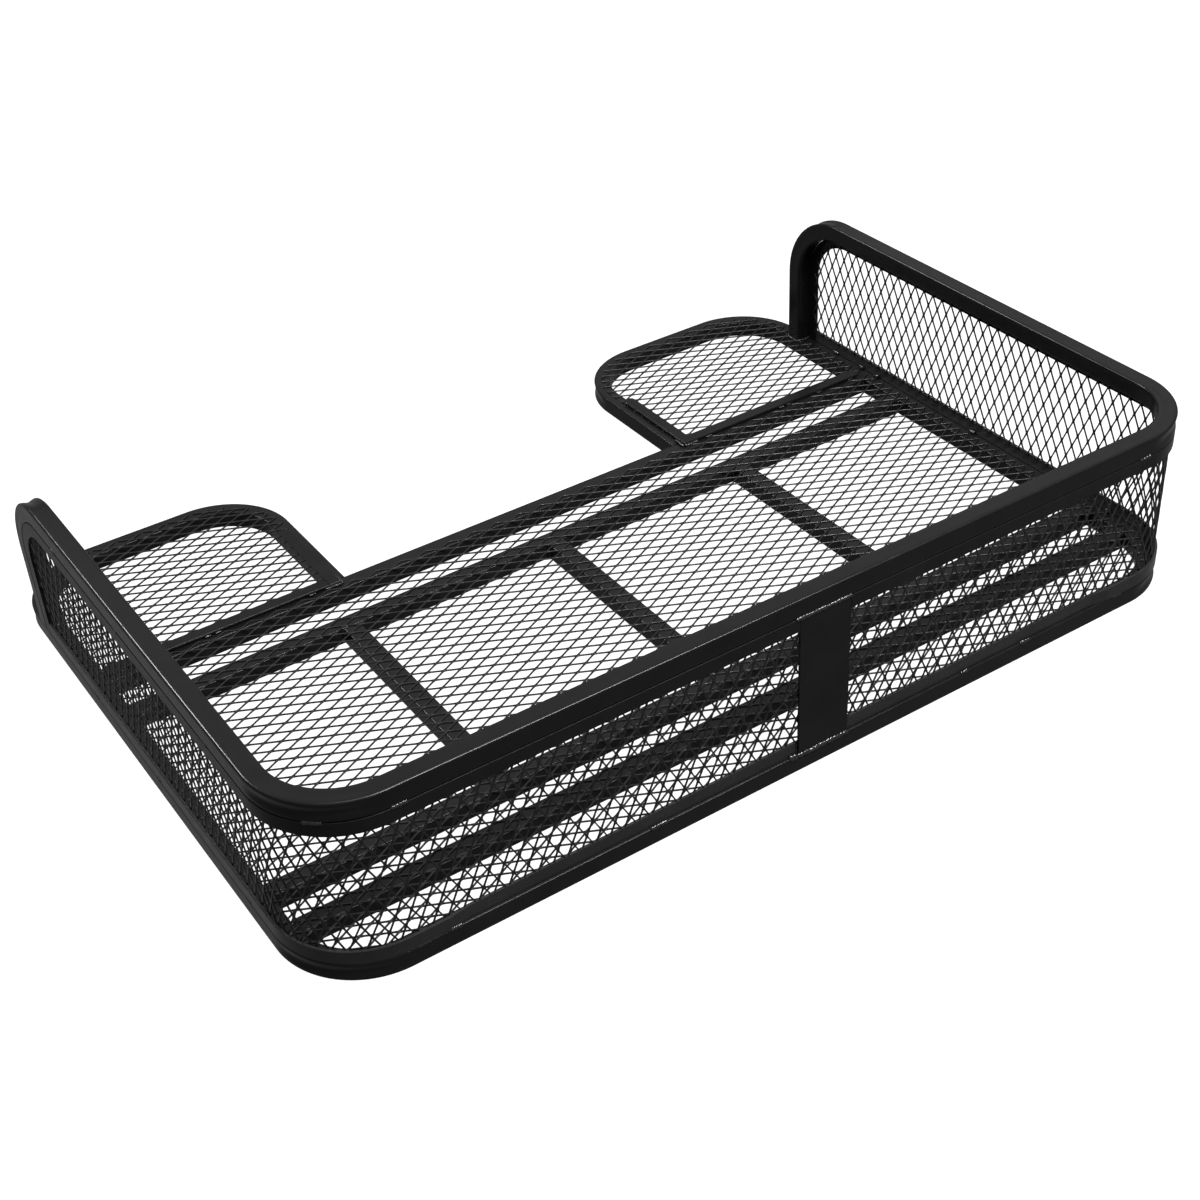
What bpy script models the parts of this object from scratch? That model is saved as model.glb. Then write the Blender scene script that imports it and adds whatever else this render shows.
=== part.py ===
"""Drop basket for the rear rack of an all-terrain vehicle.

A welded tube frame with an expanded-metal floor and walls. The floor is open
in the middle of its front side, so that a wing reaches forward on each side
of the vehicle's seat. Metres, +Z up, +X to the right, +Y towards the wings.
The origin is at the centre of the outline, on the ground.
"""

import math

import bpy
from mathutils import Vector

# ---------------------------------------------------------------- overall sizes
WIDTH = 1.120
DEPTH = 0.820
HEIGHT = 0.217
BOX_DEPTH = 0.572  # rear face to the front face of the front tube
NOTCH_WIDTH = 0.475  # clear space between the two wings
HOOP_REACH = 0.713  # rear face to the front face of the side hoops

# ---------------------------------------------------------------- stock
TUBE = 0.021  # square tube of the floor frame
TUBE_EDGE = 0.0014
RAIL = 0.022  # square tube of the top rail
RAIL_EDGE = 0.0018
BEND_RADIUS = 0.095  # to the outer face of a bent tube
SADDLE = 0.0022  # how far the outer wall of a bent tube is drawn in
BAR_WIDTH = 0.016  # flat bar that holds the edges of the wall mesh
BAR_THICKNESS = 0.003
WING_BAR_WIDTH = 0.0145  # flat bar that covers the edges of the wing mesh
MESH = 0.0016  # thickness of the flattened expanded metal
PLATE_THICKNESS = 0.003

# ---------------------------------------------------------------- positions
FRONT_GAP = 0.0495  # between the front tube and the floor tube behind it
REAR_GAP = 0.060  # between the rear tube and the rearmost floor tube
MIDDLE_GAP = 0.038  # between the two rear floor tubes
CROSS_SPACING = 0.276
PLATE_WIDTH = 0.064
PLATE_OFFSET = 0.017  # of the rear plate from the middle, to the right
MESH_LAP = 0.011  # bearing of the floor mesh on the tubes around it
MESH_FRONT_LAP = 0.008  # of the floor mesh on the front tube
WING_MESH_BACK_LAP = 0.004  # of a wing's mesh on the front tube
WALL_MESH_LAP = 0.004  # of the wall mesh on the strips that frame it
STRIP_JOINT = 0.012  # past the end of a corner bend, where two strips meet
WING_BAR_LAP = 0.012  # bearing of a wing's cross bar on the front tube
LEG_BAR_LENGTH = 0.140  # of the bar along the inner side of a wing
CLEARANCE = 0.0003  # between pieces that are welded together

# ---------------------------------------------------------------- fineness
BEND_STEPS = 12
EDGE_STEPS = 2

REAR = -DEPTH / 2
SIDE = WIDTH / 2
FLOOR = TUBE + CLEARANCE  # underside of the floor mesh
FRONT_TUBE_FACE = REAR + BOX_DEPTH
FRONT_TUBE_BACK = FRONT_TUBE_FACE - TUBE
FRONT_FLOOR_TUBE_FACE = FRONT_TUBE_BACK - FRONT_GAP
REAR_FLOOR_TUBE_BACK = REAR + TUBE + REAR_GAP
MIDDLE_FLOOR_TUBE_BACK = REAR_FLOOR_TUBE_BACK + TUBE + MIDDLE_GAP
HOOP_FACE = REAR + HOOP_REACH
HOOP_BACK = HOOP_FACE - RAIL
RAIL_UNDERSIDE = HEIGHT - RAIL


# ---------------------------------------------------------------- materials
def make_material(name, colour, roughness, metallic):
    material = bpy.data.materials.new(name)
    material.use_nodes = True
    shader = material.node_tree.nodes["Principled BSDF"]
    shader.inputs["Base Color"].default_value = (*colour, 1)
    shader.inputs["Roughness"].default_value = roughness
    shader.inputs["Metallic"].default_value = metallic
    material.diffuse_color = (*colour, 1)
    return material


# ---------------------------------------------------------------- paths and sections
def straight(start, end):
    """A path is a list of (point, direction) pairs."""
    start, end = Vector(start), Vector(end)
    direction = (end - start).normalized()
    return [(start, direction), (end, direction)]


def bent(corners, radii, steps=BEND_STEPS):
    """A path along straight runs, with an arc of its own radius at each inner corner."""
    corners = [Vector(corner) for corner in corners]
    first = (corners[1] - corners[0]).normalized()
    path = [(corners[0], first)]
    for before, corner, after, radius in zip(corners, corners[1:], corners[2:], radii):
        arriving = (corner - before).normalized()
        leaving = (after - corner).normalized()
        turn = arriving.angle(leaving)
        reach = radius * math.tan(turn / 2)
        inward = (leaving - arriving * arriving.dot(leaving)).normalized()
        centre = corner - arriving * reach + inward * radius
        for step in range(steps + 1):
            angle = turn * step / steps
            outward = arriving * math.sin(angle) - inward * math.cos(angle)
            direction = arriving * math.cos(angle) + inward * math.sin(angle)
            path.append((centre + outward * radius, direction))
    path.append((corners[-1], (corners[-1] - corners[-2]).normalized()))
    return path


def rounded_square(size, edge):
    """Outline of a square tube, with a point in the middle of each side."""
    half = size / 2
    inner = half - edge
    outline = []
    for quarter, (across, up) in enumerate(((1, 1), (-1, 1), (-1, -1), (1, -1))):
        start = math.radians(90 * quarter)
        outline.append((half * math.cos(start), half * math.sin(start)))
        for step in range(EDGE_STEPS + 1):
            angle = start + math.radians(90) * step / EDGE_STEPS
            outline.append((inner * across + edge * math.cos(angle), inner * up + edge * math.sin(angle)))
    return outline


def rectangle(width, height):
    across = width / 2
    up = height / 2
    return [(-across, -up), (across, -up), (across, up), (-across, up)]


def carried_frames(path, side):
    """The section's two axes at each point of a path, turned only as the path turns."""
    side = Vector(side).normalized()
    frames = []
    previous = path[0][1]
    for _, direction in path:
        side = previous.rotation_difference(direction) @ side
        frames.append((side.copy(), direction.cross(side)))
        previous = direction
    return frames


def saddled(outline, size, pull_side, pull_up):
    """The middle of the outer walls drawn in: pull_side and pull_up run from -1 to 1."""
    half = size / 2
    shaped = []
    for across, up in outline:
        if abs(up) < half * 0.1 and across * pull_side > 0:
            across -= math.copysign(SADDLE * abs(pull_side), across)
        if abs(across) < half * 0.1 and up * pull_up > 0:
            up -= math.copysign(SADDLE * abs(pull_up), up)
        shaped.append((across, up))
    return shaped


def bending(path, frames):
    """How strongly each point bends, and to which side of the section, as (side, up) pairs."""
    amounts = []
    last = len(path) - 1
    for index, (_, direction) in enumerate(path):
        before = path[max(index - 1, 0)][1]
        after = path[min(index + 1, last)][1]
        change = after - before
        if before.angle(after) < 1e-4 or direction.angle(before) < 1e-4 or direction.angle(after) < 1e-4:
            amounts.append((0, 0))
            continue
        side, up = frames[index]
        outward = -change.normalized()
        amounts.append((outward.dot(side), outward.dot(up)))
    return amounts


# ---------------------------------------------------------------- solids
def add_object(name, points, faces, material):
    mesh = bpy.data.meshes.new(name)
    mesh.from_pydata([tuple(point) for point in points], [], faces)
    mesh.validate()
    mesh.shade_smooth()
    mesh.set_sharp_from_angle(angle=math.radians(35))
    mesh.materials.append(material)
    obj = bpy.data.objects.new(name, mesh)
    bpy.context.scene.collection.objects.link(obj)
    return obj


def ringed_solid(name, rings, material):
    """A closed solid skinned over equal rings of points, with flat ends."""
    count = len(rings[0])
    points = [point for ring in rings for point in ring]
    faces = [tuple(reversed(range(count)))]
    for ring in range(len(rings) - 1):
        for index in range(count):
            following = (index + 1) % count
            low = ring * count
            high = low + count
            faces.append((low + index, low + following, high + following, high + index))
    end = (len(rings) - 1) * count
    faces.append(tuple(range(end, end + count)))
    return add_object(name, points, faces, material)


def swept(name, path, side, outline, material, size=None):
    """An outline carried along a path; size is given for a tube whose bends are drawn in."""
    frames = carried_frames(path, side)
    bends = bending(path, frames)
    rings = []
    for (point, _), (across_axis, up_axis), (pull_side, pull_up) in zip(path, frames, bends):
        shape = saddled(outline, size, pull_side, pull_up) if size else outline
        rings.append([point + across_axis * across + up_axis * up for across, up in shape])
    return ringed_solid(name, rings, material)


def flat_sheet(name, outline, bottom, top, material):
    """A plate of any outline, given anticlockwise as seen from above."""
    rings = [[Vector((x, y, z)) for x, y in outline] for z in (bottom, top)]
    return ringed_solid(name, rings, material)


def arc_points(centre, radius, start, end, steps=BEND_STEPS):
    """Points along an arc in the plan, with angles in degrees."""
    points = []
    for step in range(steps + 1):
        angle = math.radians(start + (end - start) * step / steps)
        points.append((centre[0] + radius * math.cos(angle), centre[1] + radius * math.sin(angle)))
    return points


# ---------------------------------------------------------------- floor frame
def rear_tube(material):
    """One length bent round the back and both sides, up to the front tube."""
    middle = TUBE / 2
    x = SIDE - middle
    y = REAR + middle
    radius = BEND_RADIUS - middle
    corners = [(-x, FRONT_TUBE_FACE, middle), (-x, y, middle), (x, y, middle), (x, FRONT_TUBE_FACE, middle)]
    path = bent(corners, [radius, radius])
    swept("rear_frame_tube", path, (1, 0, 0), rounded_square(TUBE, TUBE_EDGE), material, TUBE)


def wing_tube(name, sign, material):
    """The tube round the outer side, the front and the inner side of one wing."""
    middle = TUBE / 2
    start = FRONT_TUBE_FACE + CLEARANCE
    outer = SIDE - middle
    inner = NOTCH_WIDTH / 2 + middle
    front = REAR + DEPTH - middle
    radius = BEND_RADIUS - middle
    corners = [(outer, start), (outer, front), (inner, front), (inner, start)]
    path = bent([(sign * x, y, middle) for x, y in corners], [radius, radius])
    swept(name, path, (1, 0, 0), rounded_square(TUBE, TUBE_EDGE), material, TUBE)


def inner_half_width(back, front):
    """Half the room between the side tubes, for a piece that reaches from back to front."""
    bend_centre = REAR + BEND_RADIUS
    nearest = min(back, front)
    if nearest >= bend_centre:
        return SIDE - TUBE
    inside = BEND_RADIUS - TUBE
    drop = bend_centre - nearest
    return SIDE - BEND_RADIUS + math.sqrt(max(inside**2 - drop**2, 0))


def floor_tube(name, back, material):
    """A straight tube across the whole floor."""
    middle = TUBE / 2
    reach = inner_half_width(back, back + TUBE) - CLEARANCE
    path = straight((-reach, back + middle, middle), (reach, back + middle, middle))
    swept(name, path, (0, 1, 0), rounded_square(TUBE, TUBE_EDGE), material)


def cross_member(name, x, material):
    """A short tube from the middle floor tube to the front floor tube."""
    middle = TUBE / 2
    start = MIDDLE_FLOOR_TUBE_BACK + TUBE + CLEARANCE
    end = FRONT_FLOOR_TUBE_FACE - TUBE - CLEARANCE
    path = straight((x, start, middle), (x, end, middle))
    swept(name, path, (1, 0, 0), rounded_square(TUBE, TUBE_EDGE), material)


# ---------------------------------------------------------------- top rail
def top_rail(material):
    """One length: up from the left side, round the back and down to the right side."""
    middle = RAIL / 2
    x = SIDE - middle
    front = HOOP_FACE - middle
    back = REAR + middle
    top = HEIGHT - middle
    foot = TUBE + CLEARANCE
    radius = BEND_RADIUS - middle
    left = [(-x, front, foot), (-x, front, top), (-x, back, top)]
    right = [(x, back, top), (x, front, top), (x, front, foot)]
    path = bent(left + right, [radius] * 4)
    swept("top_rail", path, (1, 0, 0), rounded_square(RAIL, RAIL_EDGE), material, RAIL)


def rear_plate(material):
    """The upright plate in the back wall, from the floor tube up to the rail."""
    middle = REAR + PLATE_THICKNESS / 2
    start = (PLATE_OFFSET, middle, TUBE + CLEARANCE)
    end = (PLATE_OFFSET, middle, RAIL_UNDERSIDE - CLEARANCE)
    swept("rear_plate", straight(start, end), (1, 0, 0), rectangle(PLATE_WIDTH, PLATE_THICKNESS), material)


# ---------------------------------------------------------------- strips on the walls
PLATE_LEFT = PLATE_OFFSET - PLATE_WIDTH / 2
PLATE_RIGHT = PLATE_OFFSET + PLATE_WIDTH / 2
STRIP_LINE = BAR_THICKNESS / 2  # from the outer face to the middle of a strip
CORNER_END = SIDE - BEND_RADIUS - STRIP_JOINT
SIDE_JOINT = REAR + BEND_RADIUS + STRIP_JOINT
UPPER_STRIP_MIDDLE = RAIL_UNDERSIDE - CLEARANCE - BAR_WIDTH / 2
LOWER_STRIP_MIDDLE = TUBE + CLEARANCE + BAR_WIDTH / 2


def side_rail_strip(name, sign, material):
    """Flat bar inside a side hoop: up its leg, under its rail and round the rear corner."""
    x = sign * (SIDE - STRIP_LINE)
    leg = HOOP_BACK - CLEARANCE - BAR_WIDTH / 2
    back = REAR + STRIP_LINE
    hoop_radius = BEND_RADIUS - RAIL - CLEARANCE - BAR_WIDTH / 2
    corner_radius = BEND_RADIUS - STRIP_LINE
    corners = [
        (x, leg, TUBE + CLEARANCE),
        (x, leg, UPPER_STRIP_MIDDLE),
        (x, back, UPPER_STRIP_MIDDLE),
        (sign * CORNER_END, back, UPPER_STRIP_MIDDLE),
    ]
    path = bent(corners, [hoop_radius, corner_radius])
    swept(name, path, (1, 0, 0), rectangle(BAR_THICKNESS, BAR_WIDTH), material)


def rear_strip(name, start, end, height, material):
    """A straight flat bar on edge along the back wall."""
    y = REAR + STRIP_LINE
    path = straight((start, y, height), (end, y, height))
    swept(name, path, (0, 1, 0), rectangle(BAR_THICKNESS, BAR_WIDTH), material)


def side_lower_strip(name, sign, material):
    """A straight flat bar on edge along a side tube, behind the foot of the hoop strip."""
    x = sign * (SIDE - STRIP_LINE)
    front = HOOP_BACK - BAR_WIDTH - 2 * CLEARANCE
    path = straight((x, SIDE_JOINT, LOWER_STRIP_MIDDLE), (x, front, LOWER_STRIP_MIDDLE))
    swept(name, path, (1, 0, 0), rectangle(BAR_THICKNESS, BAR_WIDTH), material)


def rear_lower_strip(name, sign, plate_edge, material):
    """The lower strip round a rear corner, up to the rear plate."""
    x = sign * (SIDE - STRIP_LINE)
    y = REAR + STRIP_LINE
    z = LOWER_STRIP_MIDDLE
    corners = [(x, SIDE_JOINT - CLEARANCE, z), (x, y, z), (plate_edge, y, z)]
    path = bent(corners, [BEND_RADIUS - STRIP_LINE])
    swept(name, path, (1, 0, 0), rectangle(BAR_THICKNESS, BAR_WIDTH), material)


# ---------------------------------------------------------------- wing bars
WING_BAR_BOTTOM = FLOOR + MESH + CLEARANCE
WING_BAR_TOP = WING_BAR_BOTTOM + BAR_THICKNESS
WING_BAR_BACK = FRONT_TUBE_FACE - WING_BAR_LAP
WING_BAR_FRONT = WING_BAR_BACK + WING_BAR_WIDTH
LEG_BAR_NEAR = NOTCH_WIDTH / 2 + TUBE / 2
LEG_BAR_FAR = LEG_BAR_NEAR + WING_BAR_WIDTH


def wing_cross_bar(name, sign, material):
    """Flat bar over the rear edge of a wing's mesh, on the front tube."""
    near = sign * (LEG_BAR_FAR + CLEARANCE)
    far = sign * (SIDE - RAIL - CLEARANCE)
    low, high = sorted((near, far))
    outline = [(low, WING_BAR_BACK), (high, WING_BAR_BACK), (high, WING_BAR_FRONT), (low, WING_BAR_FRONT)]
    flat_sheet(name, outline, WING_BAR_BOTTOM, WING_BAR_TOP, material)


def wing_leg_bar(name, sign, material):
    """Flat bar over the inner edge of a wing's mesh, with a rounded front end."""
    low, high = sorted((sign * LEG_BAR_NEAR, sign * LEG_BAR_FAR))
    radius = WING_BAR_WIDTH / 2
    end = WING_BAR_BACK + LEG_BAR_LENGTH - radius
    rounded_end = arc_points(((low + high) / 2, end), radius, 0, 180)
    outline = [(low, WING_BAR_BACK), (high, WING_BAR_BACK)] + rounded_end
    flat_sheet(name, outline, WING_BAR_BOTTOM, WING_BAR_TOP, material)


# ---------------------------------------------------------------- expanded metal
def floor_mesh(material):
    """The mesh of the basket's floor, lapping the tubes around it."""
    reach = SIDE - TUBE + MESH_LAP
    back = REAR + TUBE - MESH_LAP
    front = FRONT_TUBE_BACK + MESH_FRONT_LAP
    radius = BEND_RADIUS - TUBE + MESH_LAP
    left = arc_points((-reach + radius, back + radius), radius, 180, 270)
    right = arc_points((reach - radius, back + radius), radius, 270, 360)
    flat_sheet("floor_mesh", left + right + [(reach, front), (-reach, front)], FLOOR, FLOOR + MESH, material)


def wing_mesh(name, sign, material):
    """The mesh of one wing, notched round the hoop's leg."""
    outer = SIDE - TUBE + MESH_LAP
    beside_leg = SIDE - RAIL - CLEARANCE
    behind_leg = HOOP_BACK - CLEARANCE
    before_leg = HOOP_FACE + CLEARANCE
    inner = NOTCH_WIDTH / 2 + TUBE - MESH_LAP
    back = FRONT_TUBE_FACE - WING_MESH_BACK_LAP
    front = REAR + DEPTH - TUBE + MESH_LAP
    radius = BEND_RADIUS - TUBE + MESH_LAP
    notch = [(outer, behind_leg), (beside_leg, behind_leg), (beside_leg, before_leg), (outer, before_leg)]
    corner = arc_points((outer - radius, front - radius), radius, 0, 90)
    toe = arc_points((inner + radius, front - radius), radius, 90, 180)
    outline = [(inner, back), (outer, back)] + notch + corner + toe
    if sign < 0:
        outline = [(-x, y) for x, y in reversed(outline)]
    flat_sheet(name, outline, FLOOR, FLOOR + MESH, material)


def wall_mesh(name, sign, seam, material):
    """Mesh from the rear plate round a corner to the hoop's leg, framed by the strips."""
    depth = BAR_THICKNESS + CLEARANCE + MESH / 2  # of the sheet's middle behind the outer face
    x = sign * (SIDE - depth)
    y = REAR + depth
    inset = CLEARANCE + BAR_WIDTH - WALL_MESH_LAP  # from the tubes to the edge of the sheet
    leg = HOOP_BACK - inset
    bottom = TUBE + inset
    ceiling = RAIL_UNDERSIDE - inset
    hoop_radius = BEND_RADIUS - RAIL - inset  # of the mesh's rounded upper corner
    plan = bent([(seam, y, 0), (x, y, 0), (x, leg - hoop_radius, 0)], [BEND_RADIUS - depth])
    stations = [(point, direction, ceiling) for point, direction in plan]
    for step in range(1, BEND_STEPS + 1):
        angle = math.radians(90) * step / BEND_STEPS
        point = Vector((x, leg - hoop_radius + hoop_radius * math.sin(angle), 0))
        drop = hoop_radius * (1 - math.cos(angle))
        stations.append((point, Vector((0, 1, 0)), ceiling - drop))
    rings = []
    for point, direction, top in stations:
        half = Vector((direction.y, -direction.x, 0)) * (MESH / 2)
        low = Vector((0, 0, bottom))
        high = Vector((0, 0, top))
        rings.append([point + half + low, point - half + low, point - half + high, point + half + high])
    ringed_solid(name, rings, material)


# ---------------------------------------------------------------- assembly
def clear_scene():
    for obj in list(bpy.data.objects):
        bpy.data.objects.remove(obj, do_unlink=True)


def face_outwards():
    """Turns round every solid that a mirrored path left inside out."""
    for obj in bpy.context.scene.collection.objects:
        mesh = obj.data
        volume = 0.0
        for polygon in mesh.polygons:
            corners = [mesh.vertices[index].co for index in polygon.vertices]
            for second, third in zip(corners[1:], corners[2:]):
                volume += corners[0].dot(second.cross(third))
        if volume < 0:
            mesh.flip_normals()


def build():
    clear_scene()
    frame_black = make_material("frame_powder_coat", (0.022, 0.022, 0.023), 0.42, 0.0)
    bar_black = make_material("bar_powder_coat", (0.024, 0.024, 0.025), 0.40, 0.0)
    mesh_black = make_material("mesh_powder_coat", (0.016, 0.016, 0.017), 0.48, 0.0)

    rear_tube(frame_black)
    floor_tube("front_tube", FRONT_TUBE_BACK, frame_black)
    floor_tube("front_floor_tube", FRONT_FLOOR_TUBE_FACE - TUBE, frame_black)
    floor_tube("middle_floor_tube", MIDDLE_FLOOR_TUBE_BACK, frame_black)
    floor_tube("rear_floor_tube", REAR_FLOOR_TUBE_BACK, frame_black)
    cross_member("left_cross_member", -CROSS_SPACING, frame_black)
    cross_member("centre_cross_member", 0, frame_black)
    cross_member("right_cross_member", CROSS_SPACING, frame_black)
    top_rail(frame_black)
    rear_plate(bar_black)

    seam = PLATE_OFFSET
    left_edge = PLATE_LEFT - CLEARANCE
    right_edge = PLATE_RIGHT + CLEARANCE
    corner_end = CORNER_END - CLEARANCE
    rear_strip("rear_upper_strip_left", -corner_end, left_edge, UPPER_STRIP_MIDDLE, bar_black)
    rear_strip("rear_upper_strip_right", right_edge, corner_end, UPPER_STRIP_MIDDLE, bar_black)
    for word, sign, plate_edge in (("left", -1, left_edge), ("right", 1, right_edge)):
        wing_tube(f"{word}_wing_tube", sign, frame_black)
        side_rail_strip(f"{word}_rail_strip", sign, bar_black)
        side_lower_strip(f"{word}_lower_strip", sign, bar_black)
        rear_lower_strip(f"rear_lower_strip_{word}", sign, plate_edge, bar_black)
        wing_cross_bar(f"{word}_wing_cross_bar", sign, bar_black)
        wing_leg_bar(f"{word}_wing_leg_bar", sign, bar_black)
        wing_mesh(f"{word}_wing_mesh", sign, mesh_black)
        wall_mesh(f"{word}_wall_mesh", sign, seam + sign * CLEARANCE, mesh_black)
    floor_mesh(mesh_black)
    face_outwards()


build()
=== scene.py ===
"""Looks of the welded drop basket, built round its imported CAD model.

Every CAD piece is replaced by a finer one in the same place: bent square tubes
with drawn-in outer walls, flat bars with soft edges, true expanded metal, and
weld beads. Only the rear lower strips differ in place: between their jogs they
stand STRIP_SETBACK further in. Metres, +Z up, +Y towards the wings.
"""

import itertools
import math

import bpy
import numpy as np
from mathutils import Matrix, Vector, noise


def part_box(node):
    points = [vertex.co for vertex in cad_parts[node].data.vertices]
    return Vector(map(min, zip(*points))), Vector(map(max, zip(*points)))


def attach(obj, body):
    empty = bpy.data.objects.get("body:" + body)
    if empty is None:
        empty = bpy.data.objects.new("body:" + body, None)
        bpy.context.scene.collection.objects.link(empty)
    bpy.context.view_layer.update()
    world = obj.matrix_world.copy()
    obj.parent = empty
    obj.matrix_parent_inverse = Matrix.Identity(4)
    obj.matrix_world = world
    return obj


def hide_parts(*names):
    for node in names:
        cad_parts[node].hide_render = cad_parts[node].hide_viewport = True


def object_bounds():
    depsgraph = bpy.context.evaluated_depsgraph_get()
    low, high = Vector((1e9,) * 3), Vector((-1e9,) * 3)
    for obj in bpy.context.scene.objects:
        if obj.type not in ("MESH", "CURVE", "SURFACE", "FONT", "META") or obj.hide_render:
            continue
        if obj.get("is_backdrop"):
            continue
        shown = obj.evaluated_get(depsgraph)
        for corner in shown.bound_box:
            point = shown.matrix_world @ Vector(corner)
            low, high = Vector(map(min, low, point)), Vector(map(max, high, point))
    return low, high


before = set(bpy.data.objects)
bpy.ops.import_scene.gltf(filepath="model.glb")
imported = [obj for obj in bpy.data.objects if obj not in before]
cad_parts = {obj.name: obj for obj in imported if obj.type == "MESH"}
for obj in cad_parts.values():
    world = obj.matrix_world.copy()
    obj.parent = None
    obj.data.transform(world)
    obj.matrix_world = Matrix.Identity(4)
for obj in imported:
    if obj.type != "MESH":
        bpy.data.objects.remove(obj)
CAD_LOW, CAD_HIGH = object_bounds()

# ---------------------------------------------------------------- sizes of the CAD's stock
RAIL = 0.022  # square tube of the top rail
BEND = 0.095  # outer radius of every bend
BAR = 0.003  # thickness of the flat bars
BAR_WIDTH = 0.016
WELD_GAP = 0.0003  # between pieces that are welded together
MESH_LAP = 0.011  # bearing of the floor's and wings' mesh on the tubes around it

# ---------------------------------------------------------------- sizes read from the frame
REAR = CAD_LOW.y
FRONT = CAD_HIGH.y
SIDE = CAD_HIGH.x
HEIGHT = CAD_HIGH.z
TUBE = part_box("front_tube")[1].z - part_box("front_tube")[0].z
NOTCH_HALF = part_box("right_wing_tube")[0].x
FRONT_TUBE_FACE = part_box("front_tube")[1].y
HOOP_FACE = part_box("top_rail")[1].y
HOOP_BACK = HOOP_FACE - RAIL
RAIL_UNDERSIDE = HEIGHT - RAIL
PLATE_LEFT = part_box("rear_plate")[0].x
PLATE_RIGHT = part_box("rear_plate")[1].x
PLATE_MIDDLE = (PLATE_LEFT + PLATE_RIGHT) / 2

# ---------------------------------------------------------------- finer shape of the stock
TUBE_EDGE = 0.0014  # radius of a tube's long edges
RAIL_EDGE = 0.0026
BAR_EDGE = 0.0004  # chamfer of the strips and the plate
WING_BAR_EDGE = 0.0005
WING_BAR_CHAMFER = 1.2  # its width, in edges
WING_BAR_END_STEPS = 16
SADDLE = 0.0021  # how far a bend's outer wall is drawn in
FLANK_SADDLE = 0.16  # share of that on the walls beside it
SADDLE_RUN = 0.22  # share of a bend over which the saddle grows from either end
BEND_STEPS = 30
EDGE_STEPS = 4
FACE_STEPS = 6
TUBE_STEP = 0.08  # between stations along a straight
BAR_STEP = 0.05
STRIP_SETBACK = 0.0032  # of the rear lower strips behind the tube's face
JOG_START = 0.424  # distance from the middle, as JOG_END
JOG_END = 0.402
JOG_RADIUS = 0.020
TUBE_SMOOTH = 38  # degrees; a sharper edge than this stays sharp
BAR_SMOOTH = 30
BEAD_SMOOTH = 60

# ---------------------------------------------------------------- expanded metal
LONG_PITCH = 0.03275
SHORT_PITCH = 0.01660
WING_SHORT_PITCH = 0.01635
STRAND = 0.00158  # width
SHEET = 0.0015  # thickness
BOND = 0.0046  # length of a knot
KNOT = 0.0014  # half the width of a knot
KNOT_CROWN = 0.72  # how far a knot's top reaches towards its crotches
NECK = 0.0042  # from a knot's middle to its strands' full width
STUB_NECK = 0.6  # the same in a cut strand, as the most of its length
SHORTEST_STUB = 0.0032
STRAND_EDGE = 0.00028
MESH_LIFT = 0.00002  # of the flat sheets off the tubes
LEG_GAP = 0.001  # round the feet of the hoops
SEAM_GAP = 0.0008  # half the gap between the two wall sheets
CUT_STEPS = 12
FLOOR_KNOT = (-0.1362, 0.3257)  # a knot's x, and its distance from the rear
WING_KNOTS = (("left", -0.3949, 0.6804), ("right", 0.3839, 0.6866))
# a wall's diamond diagonals as (along, up), which lean a little, and one of its knots
LEFT_WALL_ALONG = (0.01640, 0.0)
LEFT_WALL_UP = (-0.0010, 0.0330)
LEFT_WALL_KNOT_X = -0.1561
LEFT_WALL_KNOT_Z = 0.1153
RIGHT_WALL_ALONG = (0.01655, 0.0)
RIGHT_WALL_UP = (0.0017, 0.0335)
RIGHT_WALL_KNOT_Y = 0.3758  # from the rear
RIGHT_WALL_KNOT_Z = 0.1147


# ================================================================ materials
# noises of the coat: scale per metre, detail, roughness
CLOUD = (26, 4, 0.6)
SPECK = (900, 2, 0.7)
SMEAR = (75, 6, 0.65)
FINE_PEEL = (1500, 2, 0.5)
PEEL = (240, 3, 0.5)
FINE_SHARE = 0.35
PEEL_DEPTH = 0.0012


def new_tree(name):
    material = bpy.data.materials.new(name)
    material.use_nodes = True
    tree = material.node_tree
    shader = tree.nodes["Principled BSDF"]
    return material, tree, shader


def noise_node(tree, coords, scale, detail, rough):
    node = tree.nodes.new("ShaderNodeTexNoise")
    node.inputs["Scale"].default_value = scale
    node.inputs["Detail"].default_value = detail
    node.inputs["Roughness"].default_value = rough
    tree.links.new(coords, node.inputs["Vector"])
    return node.outputs["Fac"]


def ranged(tree, value, low, high, to_low, to_high):
    node = tree.nodes.new("ShaderNodeMapRange")
    node.inputs["From Min"].default_value = low
    node.inputs["From Max"].default_value = high
    node.inputs["To Min"].default_value = to_low
    node.inputs["To Max"].default_value = to_high
    tree.links.new(value, node.inputs["Value"])
    return node.outputs["Result"]


def math_node(tree, operation, first, second):
    node = tree.nodes.new("ShaderNodeMath")
    node.operation = operation
    for socket, value in zip(node.inputs, (first, second)):
        if isinstance(value, (int, float)):
            socket.default_value = value
        else:
            tree.links.new(value, socket)
    return node.outputs[0]


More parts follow.
